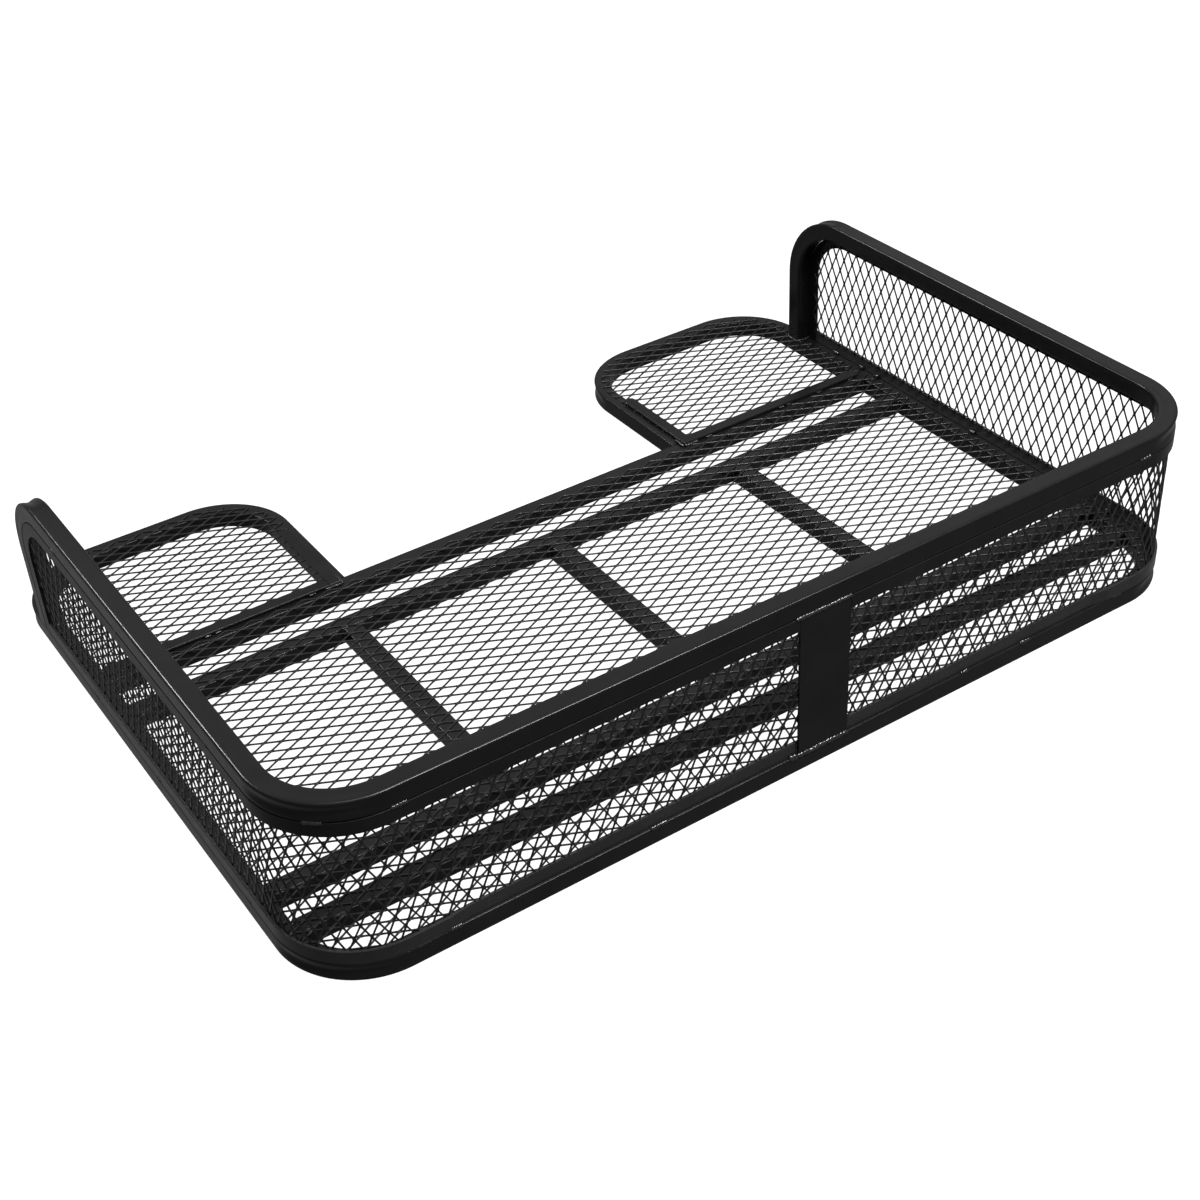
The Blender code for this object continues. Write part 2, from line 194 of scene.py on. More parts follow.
def powder_coat(name, base, rough, specular, peel=0.05):
    """Satin black powder coat: orange peel, cloudy tone, smeared gloss and dull specks."""
    material, tree, shader = new_tree(name)
    coords = tree.nodes.new("ShaderNodeTexCoord").outputs["Object"]
    cloud = noise_node(tree, coords, *CLOUD)
    speck = noise_node(tree, coords, *SPECK)
    smear = noise_node(tree, coords, *SMEAR)
    fine = noise_node(tree, coords, *FINE_PEEL)
    wave = noise_node(tree, coords, *PEEL)

    clouded = ranged(tree, cloud, 0.3, 0.7, 0.82, 1.16)
    specked = ranged(tree, speck, 0.62, 0.8, 0.0, 0.5)
    tone = math_node(tree, "ADD", clouded, specked)
    colour = tree.nodes.new("ShaderNodeVectorMath")
    colour.operation = "SCALE"
    colour.inputs[0].default_value = base
    tree.links.new(tone, colour.inputs["Scale"])
    tree.links.new(colour.outputs[0], shader.inputs["Base Color"])

    gloss = ranged(tree, smear, 0.3, 0.7, rough - 0.05, rough + 0.07)
    gloss = math_node(tree, "ADD", gloss, ranged(tree, speck, 0.6, 0.8, 0.0, 0.12))
    tree.links.new(gloss, shader.inputs["Roughness"])

    height = math_node(tree, "ADD", math_node(tree, "MULTIPLY", fine, FINE_SHARE), wave)
    bump = tree.nodes.new("ShaderNodeBump")
    bump.inputs["Strength"].default_value = peel
    bump.inputs["Distance"].default_value = PEEL_DEPTH
    tree.links.new(height, bump.inputs["Height"])
    tree.links.new(bump.outputs["Normal"], shader.inputs["Normal"])
    shader.inputs["Specular IOR Level"].default_value = specular
    return material


# colour, roughness and specular level of each coat; the lower strips' colour also holds painted
# bounce light
FRAME_COAT = powder_coat("frame_powder_coat_look", (0.0052, 0.0052, 0.0054), 0.22, 0.12)
RAIL_COAT = powder_coat("rail_powder_coat_look", (0.0036, 0.0036, 0.0038), 0.20, 0.15)
BAR_COAT = powder_coat("bar_powder_coat_look", (0.0050, 0.0050, 0.0052), 0.24, 0.10)
# The lower strips are the same black bar stock as the upper ones. Their coat is painted lighter,
# with more specular, as painted bounce light standing in for light thrown up by the pale floor,
# which stays out of diffuse and glossy bounces.
LOW_BAR_PAINTED_BOUNCE_COAT = powder_coat("low_bar_painted_bounce_light_look", (0.0125, 0.0125, 0.0128), 0.24, 0.16)
MESH_COAT = powder_coat("mesh_powder_coat_look", (0.0048, 0.0048, 0.0050), 0.34, 0.28)
WELD_COAT = powder_coat("weld_powder_coat_look", (0.0070, 0.0070, 0.0072), 0.17, 0.50, peel=0.12)


# ================================================================ mesh helpers
def finish_mesh(name, points, faces, material, nodes=(), smooth_angle=TUBE_SMOOTH):
    """The piece as an object that rides on the root and stands for the CAD nodes named."""
    mesh = bpy.data.meshes.new(name)
    mesh.from_pydata([tuple(p) for p in points], [], faces)
    mesh.validate()
    mesh.update()
    if smooth_angle:
        mesh.shade_smooth()
        mesh.set_sharp_from_angle(angle=math.radians(smooth_angle))
    mesh.materials.append(material)
    obj = bpy.data.objects.new(name, mesh)
    bpy.context.scene.collection.objects.link(obj)
    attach(obj, "root")
    if nodes:
        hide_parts(*nodes)


class Path:
    """Stations along a bent length.

    Each has a point, a direction, the outward side of its bend, and how fully
    the bend's saddle is formed there, from 0 to 1.
    """

    def __init__(self, corners, radii, straight_step):
        corners = [Vector(c) for c in corners]
        direction = (corners[1] - corners[0]).normalized()
        self.stations = [(corners[0], direction, Vector((0, 0, 0)), 0.0)]
        for before, corner, after, radius in zip(corners, corners[1:], corners[2:], radii):
            arriving = (corner - before).normalized()
            leaving = (after - corner).normalized()
            turn = arriving.angle(leaving)
            reach = radius * math.tan(turn / 2)
            inward = (leaving - arriving * arriving.dot(leaving)).normalized()
            centre = corner - arriving * reach + inward * radius
            self.fill(centre - inward * radius, straight_step)
            for step in range(BEND_STEPS + 1):
                angle = turn * step / BEND_STEPS
                outward = arriving * math.sin(angle) - inward * math.cos(angle)
                direction = arriving * math.cos(angle) + inward * math.sin(angle)
                into = min(step, BEND_STEPS - step) / (BEND_STEPS * SADDLE_RUN)
                into = min(into, 1.0)
                pull = into * into * (3 - 2 * into)
                self.stations.append((centre + outward * radius, direction, outward, pull))
        self.fill(corners[-1], straight_step)
        end = (corners[-1] - corners[-2]).normalized()
        self.stations.append((corners[-1], end, Vector((0, 0, 0)), 0.0))

    def fill(self, target, step):
        """Extra stations along the straight run up to target."""
        point = self.stations[-1][0]
        length = (target - point).length
        count = int(length / step)
        heading = (target - point).normalized()
        for index in range(1, count + 1):
            here = point + heading * (length * index / (count + 1))
            self.stations.append((here, heading, Vector((0, 0, 0)), 0.0))


def tube_section(size, edge):
    """(across, up, face normal, place along the face from -1 to 1) round a square tube."""
    half = size / 2
    flat = half - edge
    ring = []
    sides = (((1, 0), (0, 1)), ((0, 1), (-1, 0)), ((-1, 0), (0, -1)), ((0, -1), (1, 0)))
    for normal, along in sides:
        for step in range(1, FACE_STEPS):
            s = -1 + 2 * step / FACE_STEPS
            across = normal[0] * half + along[0] * flat * s
            up = normal[1] * half + along[1] * flat * s
            ring.append((across, up, normal, s))
        corner = (normal[0] + along[0], normal[1] + along[1])
        for step in range(EDGE_STEPS + 1):
            angle = math.radians(90) * step / EDGE_STEPS
            x = flat * corner[0] + edge * (normal[0] * math.cos(angle) + along[0] * math.sin(angle))
            y = flat * corner[1] + edge * (normal[1] * math.cos(angle) + along[1] * math.sin(angle))
            ring.append((x, y, None, 0))
    return ring


def bar_section(width, height, edge):
    """A flat bar with small chamfers, given as tube_section gives a tube."""
    w = width / 2
    h = height / 2
    points = []
    for sx, sy in ((1, 1), (-1, 1), (-1, -1), (1, -1)):
        pair = [(sx * w, sy * (h - edge)), (sx * (w - edge), sy * h)]
        if sx * sy < 0:
            pair.reverse()
        points += pair
    return [(x, y, None, 0) for x, y in points]


def sweep(path, side, section, saddle=0.0):
    """Skin a section over a path. Returns points and faces, outward facing."""
    side = Vector(side).normalized()
    previous = path.stations[0][1]
    points = []
    count = len(section)
    for point, direction, outward, pull in path.stations:
        side = previous.rotation_difference(direction) @ side
        previous = direction
        up = direction.cross(side)
        for across, rise, normal, s in section:
            if normal is not None and pull > 0:
                facing = normal[0] * outward.dot(side) + normal[1] * outward.dot(up)
                hump = math.cos(s * math.pi / 2) ** 2
                if facing > 0.5:
                    across -= normal[0] * saddle * pull * hump
                    rise -= normal[1] * saddle * pull * hump
                elif abs(facing) < 0.5:
                    across -= normal[0] * saddle * FLANK_SADDLE * pull * hump
                    rise -= normal[1] * saddle * FLANK_SADDLE * pull * hump
            points.append(point + side * across + up * rise)
    faces = [tuple(reversed(range(count)))]
    rings = len(path.stations)
    for ring in range(rings - 1):
        for index in range(count):
            following = (index + 1) % count
            a = ring * count
            b = a + count
            faces.append((a + index, a + following, b + following, b + index))
    end = (rings - 1) * count
    faces.append(tuple(range(end, end + count)))
    return points, outward_faces(points, faces)


def outward_faces(points, faces):
    """Turns a closed skin round if it is inside out."""
    volume = 0.0
    for face in faces:
        a = points[face[0]]
        for i, j in zip(face[1:], face[2:]):
            volume += a.dot(points[i].cross(points[j]))
    if volume < 0:
        return [tuple(reversed(face)) for face in faces]
    return faces


# ================================================================ tubes
TUBE_SECTION = tube_section(TUBE, TUBE_EDGE)
RAIL_SECTION = tube_section(RAIL, RAIL_EDGE)


def make_tube(name, corners, radii, side=(1, 0, 0), section=TUBE_SECTION, material=FRAME_COAT):
    points, faces = sweep(Path(corners, radii, TUBE_STEP), side, section, SADDLE)
    finish_mesh(name + "_formed", points, faces, material, (name,))


half = TUBE / 2
x = SIDE - half
make_tube(
    "rear_frame_tube",
    [
        (-x, FRONT_TUBE_FACE, half),
        (-x, REAR + half, half),
        (x, REAR + half, half),
        (x, FRONT_TUBE_FACE, half),
    ],
    [BEND - half] * 2,
)
for word, sign in (("left", -1), ("right", 1)):
    inner = NOTCH_HALF + half
    low = FRONT_TUBE_FACE + WELD_GAP
    corners = [(x, low), (x, FRONT - half), (inner, FRONT - half), (inner, low)]
    make_tube(f"{word}_wing_tube", [(sign * a, b, half) for a, b in corners], [BEND - half] * 2)
for name in ("front_tube", "front_floor_tube", "middle_floor_tube", "rear_floor_tube"):
    low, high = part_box(name)
    y = (low.y + high.y) / 2
    make_tube(name, [(low.x, y, half), (high.x, y, half)], [], side=(0, 1, 0))
for name in ("left_cross_member", "centre_cross_member", "right_cross_member"):
    low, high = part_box(name)
    a = (low.x + high.x) / 2
    make_tube(name, [(a, low.y, half), (a, high.y, half)], [])

middle = RAIL / 2
x = SIDE - middle
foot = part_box("top_rail")[0].z
left_half = [
    (-x, HOOP_FACE - middle, foot),
    (-x, HOOP_FACE - middle, HEIGHT - middle),
    (-x, REAR + middle, HEIGHT - middle),
]
corners = left_half + [(-a, b, c) for a, b, c in reversed(left_half)]
make_tube("top_rail", corners, [BEND - middle] * 4, section=RAIL_SECTION, material=RAIL_COAT)


# ================================================================ flat bars
def make_bar(name, corners, radii, width, height, side, material=BAR_COAT):
    section = bar_section(width, height, BAR_EDGE)
    points, faces = sweep(Path(corners, radii, BAR_STEP), side, section)
    finish_mesh(name + "_bar", points, faces, material, (name,), BAR_SMOOTH)


def make_strip(name, corners, radii=(), side=(1, 0, 0), material=BAR_COAT):
    make_bar(name, corners, radii, BAR, BAR_WIDTH, side, material)


line = BAR / 2
UPPER = (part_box("rear_upper_strip_left")[0].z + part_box("rear_upper_strip_left")[1].z) / 2
LOWER = (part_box("rear_lower_strip_left")[0].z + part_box("rear_lower_strip_left")[1].z) / 2

for word, sign in (("left", -1), ("right", 1)):
    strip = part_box(f"{word}_rail_strip")
    x = sign * (SIDE - line)
    leg = HOOP_BACK - WELD_GAP - BAR_WIDTH / 2
    inner_end = strip[1].x if sign < 0 else strip[0].x
    corners = [
        (x, leg, strip[0].z),
        (x, leg, UPPER),
        (x, REAR + line, UPPER),
        (inner_end, REAR + line, UPPER),
    ]
    radii = [BEND - RAIL - WELD_GAP - BAR_WIDTH / 2, BEND - line]
    make_strip(f"{word}_rail_strip", corners, radii)

    low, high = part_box(f"{word}_lower_strip")
    ends = [(x, low.y, LOWER), (x, high.y, LOWER)]
    make_strip(f"{word}_lower_strip", ends, material=LOW_BAR_PAINTED_BOUNCE_COAT)

    low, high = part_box(f"rear_lower_strip_{word}")
    plate_end = high.x if sign < 0 else low.x
    back_line = REAR + line
    corners = [
        (x, high.y, LOWER),
        (x, back_line, LOWER),
        (sign * JOG_START, back_line, LOWER),
        (sign * JOG_END, back_line + STRIP_SETBACK, LOWER),
        (plate_end, back_line + STRIP_SETBACK, LOWER),
    ]
    radii = [BEND - line, JOG_RADIUS, JOG_RADIUS]
    make_strip(f"rear_lower_strip_{word}", corners, radii, material=LOW_BAR_PAINTED_BOUNCE_COAT)

    low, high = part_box(f"rear_upper_strip_{word}")
    ends = [(low.x, REAR + line, UPPER), (high.x, REAR + line, UPPER)]
    make_strip(f"rear_upper_strip_{word}", ends, side=(0, 1, 0))

low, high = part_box("rear_plate")
plate_y = (low.y + high.y) / 2
ends = [(PLATE_MIDDLE, plate_y, low.z), (PLATE_MIDDLE, plate_y, high.z)]
make_bar("rear_plate", ends, [], high.x - low.x, BAR, (1, 0, 0))


def flat_bar(name, outline, bottom, top):
    """A flat bar of any outline, its upper edge softened."""
    inset = []
    for index, point in enumerate(outline):
        before = Vector(outline[index - 1])
        here = Vector(point)
        after = Vector(outline[(index + 1) % len(outline)])
        way = (here - before).normalized() + (after - here).normalized()
        normal = Vector((-way.y, way.x)).normalized()
        inset.append(here + normal * WING_BAR_EDGE * WING_BAR_CHAMFER)
    rings = [
        [Vector((a, b, bottom)) for a, b in outline],
        [Vector((a, b, top - WING_BAR_EDGE)) for a, b in outline],
        [Vector((p.x, p.y, top)) for p in inset],
    ]
    count = len(outline)
    points = [p for ring in rings for p in ring]
    faces = [tuple(reversed(range(count))), tuple(range(2 * count, 3 * count))]
    for ring in range(2):
        for index in range(count):
            following = (index + 1) % count
            a = ring * count
            faces.append((a + index, a + following, a + count + following, a + count + index))
    faces = outward_faces(points, faces)
    finish_mesh(name + "_bar", points, faces, BAR_COAT, (name,), BAR_SMOOTH)


for word in ("left", "right"):
    low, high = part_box(f"{word}_wing_cross_bar")
    outline = [(low.x, low.y), (high.x, low.y), (high.x, high.y), (low.x, high.y)]
    flat_bar(f"{word}_wing_cross_bar", outline, low.z, high.z)
    low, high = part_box(f"{word}_wing_leg_bar")
    radius = (high.x - low.x) / 2
    outline = [(low.x, low.y), (high.x, low.y)]
    for step in range(WING_BAR_END_STEPS + 1):
        angle = math.pi * step / WING_BAR_END_STEPS
        a = (low.x + high.x) / 2 + radius * math.cos(angle)
        b = high.y - radius + radius * math.sin(angle)
        outline.append((a, b))
    flat_bar(f"{word}_wing_leg_bar", outline, low.z, high.z)


# ================================================================ expanded metal
ARMS = ((1, 1), (-1, 1), (-1, -1), (1, -1))


def expanded_metal(name, inside, bounds, origin, along, up, place, node):
    """A sheet of diamonds, cut where inside(u, v) ends.

    origin is one knot, and along and up are a diamond's two diagonals.
    place(u, v, w) gives a point in space, with w out of the sheet.
    """
    along = np.array(along, float)
    up = np.array(up, float)
    origin = np.array(origin, float)
    long_unit = along / np.linalg.norm(along)
    short_unit = up / np.linalg.norm(up)
    long_is_first = np.linalg.norm(along) > np.linalg.norm(up)
    low_u, high_u, low_v, high_v = bounds
    reach_i = int((high_u - low_u) / np.linalg.norm(along) * 2) + 6
    reach_j = int((high_v - low_v) / np.linalg.norm(up) * 2) + 6
    centre = np.array([(low_u + high_u) / 2, (low_v + high_v) / 2])
    base = np.linalg.solve(np.array([along / 2, up / 2]).T, centre - origin)
    base = np.round(base).astype(int)
    if base.sum() % 2:
        base[0] += 1

    lattice = {}
    for i in range(base[0] - reach_i, base[0] + reach_i + 1):
        for j in range(base[1] - reach_j, base[1] + reach_j + 1):
            if (i + j) % 2:
                continue
            point = origin + along * i / 2 + up * j / 2
            if inside(point[0], point[1]):
                lattice[i, j] = point

    tip_along = BOND / 2 if long_is_first else KNOT
    tip_up = KNOT if long_is_first else BOND / 2
    crotch_vectors = (
        short_unit * tip_up,
        -long_unit * tip_along,
        -short_unit * tip_up,
        long_unit * tip_along,
    )
    # height, share of a knot's width, and inset of a strand's side
    levels = ((0.0, 1.0, 0.0), (SHEET - STRAND_EDGE, 1.0, 0.0), (SHEET, KNOT_CROWN, STRAND_EDGE))

    points = []
    faces = []

    def add(uv, w):
        points.append(place(uv[0], uv[1], w))
        return len(points) - 1

    corner_ids = {}
    for key, point in lattice.items():
        ids = []
        for vector in crotch_vectors:
            ids.append([add(point + vector * grow, w) for w, grow, _ in levels])
        corner_ids[key] = ids
        faces.append(tuple(ids[k][2] for k in (0, 1, 2, 3)))
        faces.append(tuple(ids[k][0] for k in (3, 2, 1, 0)))

    def wall(first, second):
        """Faces up the side of the sheet between two columns of points."""
        for level in range(2):
            faces.append((first[level], second[level], second[level + 1], first[level + 1]))

    def cut_share(a, b):
        """How much of the way from a to b is inside."""
        low, high = 0.0, 1.0
        for _ in range(CUT_STEPS):
            middle = (low + high) / 2
            here = a + (b - a) * middle
            if inside(here[0], here[1]):
                low = middle
            else:
                high = middle
        return low

    for key, point in lattice.items():
        for arm, (di, dj) in enumerate(ARMS):
            other = (key[0] + di, key[1] + dj)
            left = corner_ids[key][arm]
            right = corner_ids[key][arm - 1]
            target = origin + along * other[0] / 2 + up * other[1] / 2
            length = np.linalg.norm(target - point)
            heading = (target - point) / length
            across = np.array([-heading[1], heading[0]])
            if other in lattice:
                if arm > 1:
                    continue
                far = (arm + 2) % 4
                end_left = corner_ids[other][far - 1]
                end_right = corner_ids[other][far]
                stops = (NECK, length - NECK)
                capped = False
            else:
                share = cut_share(point, target)
                reach = share * length
                if reach < SHORTEST_STUB:
                    wall(right, left)
                    continue
                stops = (min(NECK, reach * STUB_NECK), reach)
                end_left = end_right = None
                capped = True
            columns = [(left, right)]
            for stop in stops:
                middle = point + heading * stop
                pair = []
                for sense in (1, -1):
                    column = []
                    for w, _, inset in levels:
                        column.append(add(middle + across * sense * (STRAND / 2 - inset), w))
                    pair.append(column)
                columns.append(tuple(pair))
            if not capped:
                columns.append((end_left, end_right))
            for (l0, r0), (l1, r1) in zip(columns, columns[1:]):
                faces.append((r0[2], r1[2], l1[2], l0[2]))
                faces.append((l0[0], l1[0], r1[0], r0[0]))
                wall(r0, r1)
                wall(l1, l0)
            if capped:
                l, r = columns[-1]
                faces.append((r[0], l[0], l[1], r[1]))
                faces.append((r[1], l[1], l[2], r[2]))
    finish_mesh(name, points, faces, MESH_COAT, (node,), smooth_angle=0)


def rounded_inside(low_u, high_u, low_v, high_v, radii):
    """A test for a rectangle with rounded corners.

    The radii go round from the low, low corner by way of the high, low one.
    """
    corners = (
        (low_u + radii[0], low_v + radii[0], -1, -1, radii[0]),
        (high_u - radii[1], low_v + radii[1], 1, -1, radii[1]),
        (high_u - radii[2], high_v - radii[2], 1, 1, radii[2]),
        (low_u + radii[3], high_v - radii[3], -1, 1, radii[3]),
    )

    def inside(u, v):
        if not (low_u <= u <= high_u and low_v <= v <= high_v):
            return False
        for cu, cv, su, sv, radius in corners:
            du = (u - cu) * su
            dv = (v - cv) * sv
            if du > 0 and dv > 0 and du * du + dv * dv > radius * radius:
                return False
        return True

    return inside


def flat_place(u, v, w):
    return Vector((u, v, TUBE + MESH_LIFT + w))


low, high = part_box("floor_mesh")
curve = BEND - TUBE + MESH_LAP
floor_inside = rounded_inside(low.x, high.x, low.y, high.y, (curve, curve, 0, 0))
expanded_metal(
    "floor_expanded_metal",
    floor_inside,
    (low.x, high.x, low.y, high.y),
    (FLOOR_KNOT[0], REAR + FLOOR_KNOT[1]),
    (LONG_PITCH, 0),
    (0, SHORT_PITCH),
    flat_place,
    "floor_mesh",
)

for word, knot_x, knot_y in WING_KNOTS:
    low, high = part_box(f"{word}_wing_mesh")
    outline = rounded_inside(low.x, high.x, low.y, high.y, (0, 0, curve, curve))

    def wing_inside(u, v, outline=outline):
        under_leg = abs(u) > SIDE - RAIL - LEG_GAP and HOOP_BACK - LEG_GAP < v < HOOP_FACE + LEG_GAP
        return outline(u, v) and not under_leg

    expanded_metal(
        f"{word}_wing_expanded_metal",
        wing_inside,
        (low.x, high.x, low.y, high.y),
        (knot_x, REAR + knot_y),
        (LONG_PITCH, 0),
        (0, WING_SHORT_PITCH),
        flat_place,
        f"{word}_wing_mesh",
    )

# ---------------------------------------------------------------- the walls, from leg to leg
wall_low, wall_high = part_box("left_wall_mesh")
WALL_INSET = wall_low.z - TUBE
WALL_BACK = BAR + WELD_GAP
WALL_RADIUS = BEND - WALL_BACK
WALL_Y = REAR + WALL_BACK
WALL_X = SIDE - WALL_BACK
ARC = WALL_RADIUS * math.pi / 2
SIDE_RUN = wall_high.y - (WALL_Y + WALL_RADIUS)
REAR_RUN = 2 * (WALL_X - WALL_RADIUS)
U_REAR = SIDE_RUN + ARC
U_RIGHT = U_REAR + REAR_RUN + ARC
U_END = U_RIGHT + SIDE_RUN


def wall_place(u, v, w):
    """u runs along the left side, the rear and the right side, and w points outwards."""
    out = w - SHEET
    if u <= SIDE_RUN:
        return Vector((-WALL_X - out, WALL_Y + WALL_RADIUS + SIDE_RUN - u, v))
    if u < U_REAR:
        angle = (u - SIDE_RUN) / WALL_RADIUS
        radius = WALL_RADIUS + out
        a = -WALL_X + WALL_RADIUS - radius * math.cos(angle)
        return Vector((a, WALL_Y + WALL_RADIUS - radius * math.sin(angle), v))
    if u <= U_REAR + REAR_RUN:
        return Vector((-WALL_X + WALL_RADIUS + u - U_REAR, WALL_Y - out, v))
    if u < U_RIGHT:
        angle = (u - U_REAR - REAR_RUN) / WALL_RADIUS
        radius = WALL_RADIUS + out
        a = WALL_X - WALL_RADIUS + radius * math.sin(angle)
        return Vector((a, WALL_Y + WALL_RADIUS - radius * math.cos(angle), v))
    return Vector((WALL_X + out, WALL_Y + WALL_RADIUS + u - U_RIGHT, v))


def rear_u(x_real):
    """The u of a point on the rear, from its x."""
    return U_REAR + (x_real + WALL_X - WALL_RADIUS)


def right_u(y_real):
    """The u of a point on the right side, from its y."""
    return U_RIGHT + (y_real - WALL_Y - WALL_RADIUS)


bottom = wall_low.z
top = wall_high.z
hoop_curve = BEND - RAIL - WALL_INSET
seam = rear_u(PLATE_MIDDLE)
left_wall = rounded_inside(0.0, seam - SEAM_GAP, bottom, top, (0, 0, 0, hoop_curve))
right_wall = rounded_inside(seam + SEAM_GAP, U_END, bottom, top, (0, 0, hoop_curve, 0))
expanded_metal(
    "left_wall_expanded_metal",
    left_wall,
    (0.0, seam, bottom, top),
    (rear_u(LEFT_WALL_KNOT_X), LEFT_WALL_KNOT_Z),
    LEFT_WALL_ALONG,
    LEFT_WALL_UP,
    wall_place,
    "left_wall_mesh",
)
expanded_metal(
    "right_wall_expanded_metal",
    right_wall,
    (seam, U_END, bottom, top),
    (right_u(REAR + RIGHT_WALL_KNOT_Y), RIGHT_WALL_KNOT_Z),
    RIGHT_WALL_ALONG,
    RIGHT_WALL_UP,
    wall_place,
    "right_wall_mesh",
)


# ================================================================ weld beads
BEAD_AROUND = 14
BEAD_STEP = 0.22  # between rings, in radii
BEAD_LEAST_RINGS = 12
PUDDLE_PITCH = 0.9  # in radii, and a puddle's waist is the share PUDDLE_WAIST
PUDDLE_WAIST = 0.74
PUDDLE_SWELL = 0.26
bead_numbers = itertools.count(1)


def weld(start, end, radius, normal=(0, 0, 1), flatten=0.6):
    """The next bead, a run of small overlapping puddles along a seam, with a shape of its own."""
    seed = next(bead_numbers)
    start, end = Vector(start), Vector(end)
    normal = Vector(normal).normalized()
    length = (end - start).length
    direction = (end - start).normalized()
    side = direction.cross(normal).normalized()
    around = BEAD_AROUND
    pitch = radius * BEAD_STEP
    rings = max(int((length + 2 * radius) / pitch), BEAD_LEAST_RINGS)
    points = []
    for ring in range(rings + 1):
        s = -radius + (length + 2 * radius) * ring / rings
        beyond = max(-s, s - length, 0.0)
        swell = math.sqrt(max(1 - (beyond / radius) ** 2, 0.0004))
        puddle = abs(math.cos(s / (radius * PUDDLE_PITCH) * math.pi / 2))
        swell *= PUDDLE_WAIST + PUDDLE_SWELL * puddle
        swell *= 1 + 0.40 * noise.noise(Vector((s / radius * 0.8, seed * 3.7, 0.1)))
        for index in range(around):
            angle = 2 * math.pi * index / around
            spot = Vector((s / radius * 1.5, math.cos(angle) + seed, math.sin(angle)))
            bump = 1 + 0.24 * noise.noise(spot)
            across = math.cos(angle) * radius * swell * bump
            rise = math.sin(angle) * radius * flatten * swell * bump
            points.append(start + direction * s + side * across + normal * rise)
    faces = [tuple(reversed(range(around)))]
    for ring in range(rings):
        for index in range(around):
            following = (index + 1) % around
            a = ring * around
            faces.append((a + index, a + following, a + around + following, a + around + index))
    faces.append(tuple(range(rings * around, (rings + 1) * around)))
    faces = outward_faces(points, faces)
    name = f"weld_bead_{seed:02d}"
    finish_mesh(name, points, faces, WELD_COAT, (), BEAD_SMOOTH)


REAR_LINE = (0, -1, 0.6)  # a bead on the rear faces outwards and a little up
SEAM = TUBE + WELD_GAP / 2
RAIL_SEAM = RAIL_UNDERSIDE - WELD_GAP / 2
ROUND = 0.7  # flatten of the rounder blobs
INTO_CORNER = -0.0005  # out of a bead that sits in the groove of a corner
REAR_TACKS = (  # x of the middle and length
    (-0.452, 0.012),
    (-0.418, 0.010),
    (-0.188, 0.017),
    (0.211, 0.006),
    (0.300, 0.012),
    (0.440, 0.010),
)
STRIP_JOINT = (0.463, 0.450)  # distances from the middle
SIDE_TACKS = (-0.235, -0.020, 0.150)
SIDE_TACK = 0.010  # length, and the lower ones lie LOWER_TACK further back
LOWER_TACK = (-0.030, -0.019)
INNER_FOOT_TACKS = (-0.2875, -0.0535, 0.1330, 0.1640, 0.2170)
WING_SPECKS = (0.402, 0.415, 0.466, 0.520)


def on_corner(sign, degrees, z, out=0.0):
    """A point on the outer face of a rear corner: 0 at the rear face and 90 at the side."""
    angle = math.radians(degrees)
    reach = BEND + out
    a = sign * (SIDE - BEND + reach * math.sin(angle))
    return (a, REAR + BEND - reach * math.cos(angle), z)



def rear_weld(x_from, x_to, z, radius, flatten=0.6, set_in=(0.0, 0.0)):
    """A bead along the rear. set_in is how far each end lies in front of the rear face."""
    start = (x_from, REAR + set_in[0], z)
    weld(start, (x_to, REAR + set_in[1], z), radius, REAR_LINE, flatten)


# the rear plate
rear_weld(PLATE_LEFT + 0.001, PLATE_RIGHT - 0.001, SEAM, 0.0026)
rear_weld(PLATE_LEFT - 0.009, PLATE_LEFT - 0.002, SEAM, 0.0030, ROUND, (0.0010, 0.0006))
rear_weld(PLATE_LEFT + 0.012, PLATE_LEFT + 0.021, SEAM, 0.0027, ROUND, (-0.0004, -0.0004))
rear_weld(PLATE_LEFT - 0.004, PLATE_RIGHT - 0.002, RAIL_SEAM, 0.0022)
# tacks along the rear, between the lower strip and the tube
for a, length in REAR_TACKS:
    rear_weld(a - length / 2, a + length / 2, SEAM, 0.0021, set_in=(0.0006, 0.0006))
# beads between the rail and the upper strips
for sign in (-1, 1):
    start, end = (sign * a for a in STRIP_JOINT)
    rear_weld(start, end, RAIL_SEAM, 0.0020, set_in=(0.0004, 0.0004))
for sign, degrees, radius in ((-1, (47, 38), 0.0022), (1, (60, 52), 0.0020)):
    start, end = (on_corner(sign, turn, RAIL_SEAM, INTO_CORNER) for turn in degrees)
    weld(start, end, radius, (sign * 0.7, -0.7, 0.4))
for sign in (-1, 1):
    for a in SIDE_TACKS:
        side_x = sign * (SIDE + INTO_CORNER)
        outward = (sign, 0, 0.5)
        weld((side_x, a, RAIL_SEAM), (side_x, a + SIDE_TACK, RAIL_SEAM), 0.0018, outward)
        start, end = ((side_x, a + along, SEAM) for along in LOWER_TACK)
        weld(start, end, 0.0018, outward)
    # tacks at the inner foot of a lower strip
    inner_x = sign * (SIDE - BAR - 0.0016)
    foot_z = TUBE + 0.0022
    for a in INNER_FOOT_TACKS:
        weld((inner_x, a, foot_z), (inner_x, a + 0.003, foot_z), 0.0031, (-sign, 0, 0.7), 0.8)
    # the feet of the hoops
    foot_x = SIDE - RAIL
    for b in (HOOP_BACK - 0.0004, HOOP_FACE + 0.0004):
        weld((sign * (foot_x + 0.002), b, SEAM), (sign * (SIDE - 0.003), b, SEAM), 0.0021)
    for a in (foot_x - 0.0003, SIDE - 0.0022):
        weld((sign * a, HOOP_BACK + 0.002, SEAM), (sign * a, HOOP_FACE - 0.002, SEAM), 0.0020)

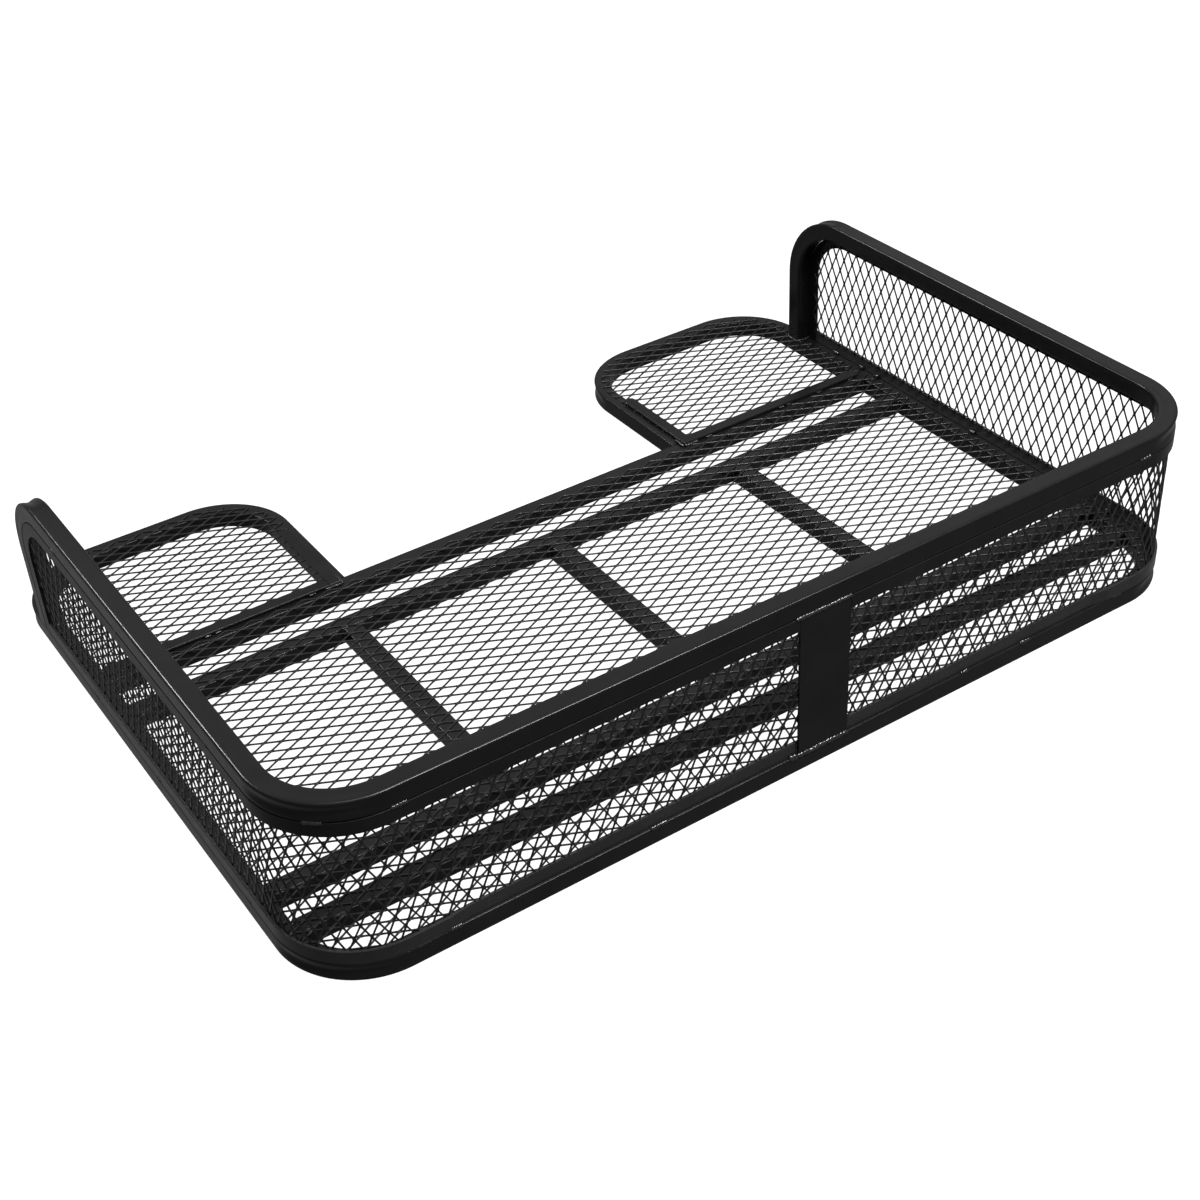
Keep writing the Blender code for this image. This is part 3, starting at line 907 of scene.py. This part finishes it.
# the bars of the wings
for sign, word in ((-1, "left"), (1, "right")):
    low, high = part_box(f"{word}_wing_leg_bar")
    near, far = (low.x, high.x) if sign > 0 else (high.x, low.x)
    z = low.z
    tip_z = z + 0.0012
    foot_y = low.y - 0.0006
    start = (near, high.y - 0.006, tip_z)
    weld(start, ((near + far) / 2, high.y + 0.0004, tip_z), 0.0018)
    start = (near - sign * 0.0020, low.y + 0.002, z)
    weld(start, (near - sign * 0.0010, low.y + 0.016, z), 0.0023)
    weld((near + sign * 0.0020, low.y - 0.0010, z), (far + sign * 0.0040, foot_y, z), 0.0024)
    weld((far + sign * 0.020, foot_y, z), (far + sign * 0.026, foot_y, z), 0.0019)
    for a in WING_SPECKS:
        b = low.y - 0.0004
        weld((sign * a, b, z), (sign * (a + 0.005), b, z), 0.0017)


# the joints of the floor tubes
JOINT_END = 0.0035  # from a bead's end to the tube's edge
UNDER_Z = 0.0004
UNDER_REACH = 0.8  # share of the tube's half width
UNDER_FLATTEN = 0.3


def joint_beads(a, b, out_a, out_b):
    """Beads up both sides and underneath, where a tube ends at (a, b) pointing (out_a, out_b)."""
    for side in (-1, 1):
        px = a - out_b * side * half
        py = b + out_a * side * half
        facing = (out_b * side, out_a * side, 0)
        weld((px, py, JOINT_END), (px, py, TUBE - JOINT_END), 0.0017, facing)
    da = out_b * half * UNDER_REACH
    db = out_a * half * UNDER_REACH
    weld((a - da, b - db, UNDER_Z), (a + da, b + db, UNDER_Z), 0.0013, flatten=UNDER_FLATTEN)


for name in ("front_tube", "front_floor_tube", "middle_floor_tube"):
    low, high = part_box(name)
    for sign in (-1, 1):
        joint_beads(sign * high.x, (low.y + high.y) / 2, sign, 0)
for name in ("left_cross_member", "centre_cross_member", "right_cross_member"):
    low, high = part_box(name)
    joint_beads((low.x + high.x) / 2, low.y, 0, -1)
    joint_beads((low.x + high.x) / 2, high.y, 0, 1)
for sign in (-1, 1):
    joint_beads(sign * (NOTCH_HALF + half), FRONT_TUBE_FACE, 0, -1)

# ================================================================ stage, light, camera
STAGE_REACH = 14.0
STAGE_DROP = -0.0002  # keeps the floor clear of the tubes' undersides
STAGE_GREY = (0.10, 0.10, 0.10, 1)
STAGE_GLOW = 0.98
WORLD_GLOW = 0.24
AZIMUTH = math.radians(-31.80)
ELEVATION = math.radians(35.89)
ROLL = math.radians(-3.452)
SENSOR_MM = 36
LENS_MM = 56.091
CAMERA_X = -0.93757
CAMERA_BEHIND = -1.12364  # from the rear face
CAMERA_Z = 1.27391


def make_stage():
    """A pale floor and walls that glow evenly and stay out of glossy and diffuse bounces."""
    mesh = bpy.data.meshes.new("studio_floor")
    reach = STAGE_REACH
    plan = ((-reach, -reach), (reach, -reach), (reach, reach), (-reach, reach))
    corners = [(a, b, z) for z in (0, reach) for a, b in plan]
    sides = [(i, i + 4, (i + 1) % 4 + 4, (i + 1) % 4) for i in range(4)]
    mesh.from_pydata(corners, [], [(0, 1, 2, 3), *sides])
    obj = bpy.data.objects.new("studio_floor", mesh)
    bpy.context.scene.collection.objects.link(obj)
    obj.location.z = STAGE_DROP
    material, _, shader = new_tree("studio_floor_paint")
    shader.inputs["Base Color"].default_value = STAGE_GREY
    shader.inputs["Roughness"].default_value = 0.9
    shader.inputs["Specular IOR Level"].default_value = 0.1
    shader.inputs["Emission Color"].default_value = (1, 1, 1, 1)
    shader.inputs["Emission Strength"].default_value = STAGE_GLOW
    mesh.materials.append(material)
    obj.visible_glossy = False
    obj.visible_diffuse = False
    obj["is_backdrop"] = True


def area_light(name, location, target, size, size_y, power):
    data = bpy.data.lights.new(name, "AREA")
    data.shape = "RECTANGLE"
    data.size = size
    data.size_y = size_y
    data.energy = power
    obj = bpy.data.objects.new(name, data)
    bpy.context.scene.collection.objects.link(obj)
    obj.location = location
    obj.rotation_euler = (Vector(target) - Vector(location)).to_track_quat("-Z", "Y").to_euler()


make_stage()
world = bpy.data.worlds.new("studio")
world.use_nodes = True
bpy.context.scene.world = world
background = world.node_tree.nodes["Background"]
background.inputs["Color"].default_value = (1, 1, 1, 1)
background.inputs["Strength"].default_value = WORLD_GLOW
# place, target, width, height, power
area_light("ceiling", (0, 0, 3.3), (0, 0, 0), 11, 11, 190)
area_light("rear_key", (0.55, -1.55, 2.25), (0.55, 0, 0), 1.5, 0.32, 150)
area_light("front_rim", (-1.30, 2.05, 1.95), (0, 0, 0), 1.0, 0.45, 70)
area_light("overhead", (-0.1, -0.7, 2.9), (0, 0, 0), 1.7, 1.7, 45)

back = Vector((
    math.sin(AZIMUTH) * math.cos(ELEVATION),
    -math.cos(AZIMUTH) * math.cos(ELEVATION),
    math.sin(ELEVATION),
))
right = Vector((math.cos(AZIMUTH), math.sin(AZIMUTH), 0))
up = right.cross(-back)
across = right * math.cos(ROLL) + up * math.sin(ROLL)
above = -right * math.sin(ROLL) + up * math.cos(ROLL)
camera_data = bpy.data.cameras.new("camera")
camera_data.sensor_width = SENSOR_MM
camera_data.lens = LENS_MM
camera_data.clip_start = 0.05
camera_data.clip_end = 60
camera = bpy.data.objects.new("camera", camera_data)
bpy.context.scene.collection.objects.link(camera)
rotation = Matrix((across, above, back)).transposed().to_4x4()
place = (CAMERA_X, REAR + CAMERA_BEHIND, CAMERA_Z)
camera.matrix_world = Matrix.Translation(place) @ rotation
bpy.context.scene.camera = camera
bpy.context.scene.view_settings.view_transform = "Standard"

low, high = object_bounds()
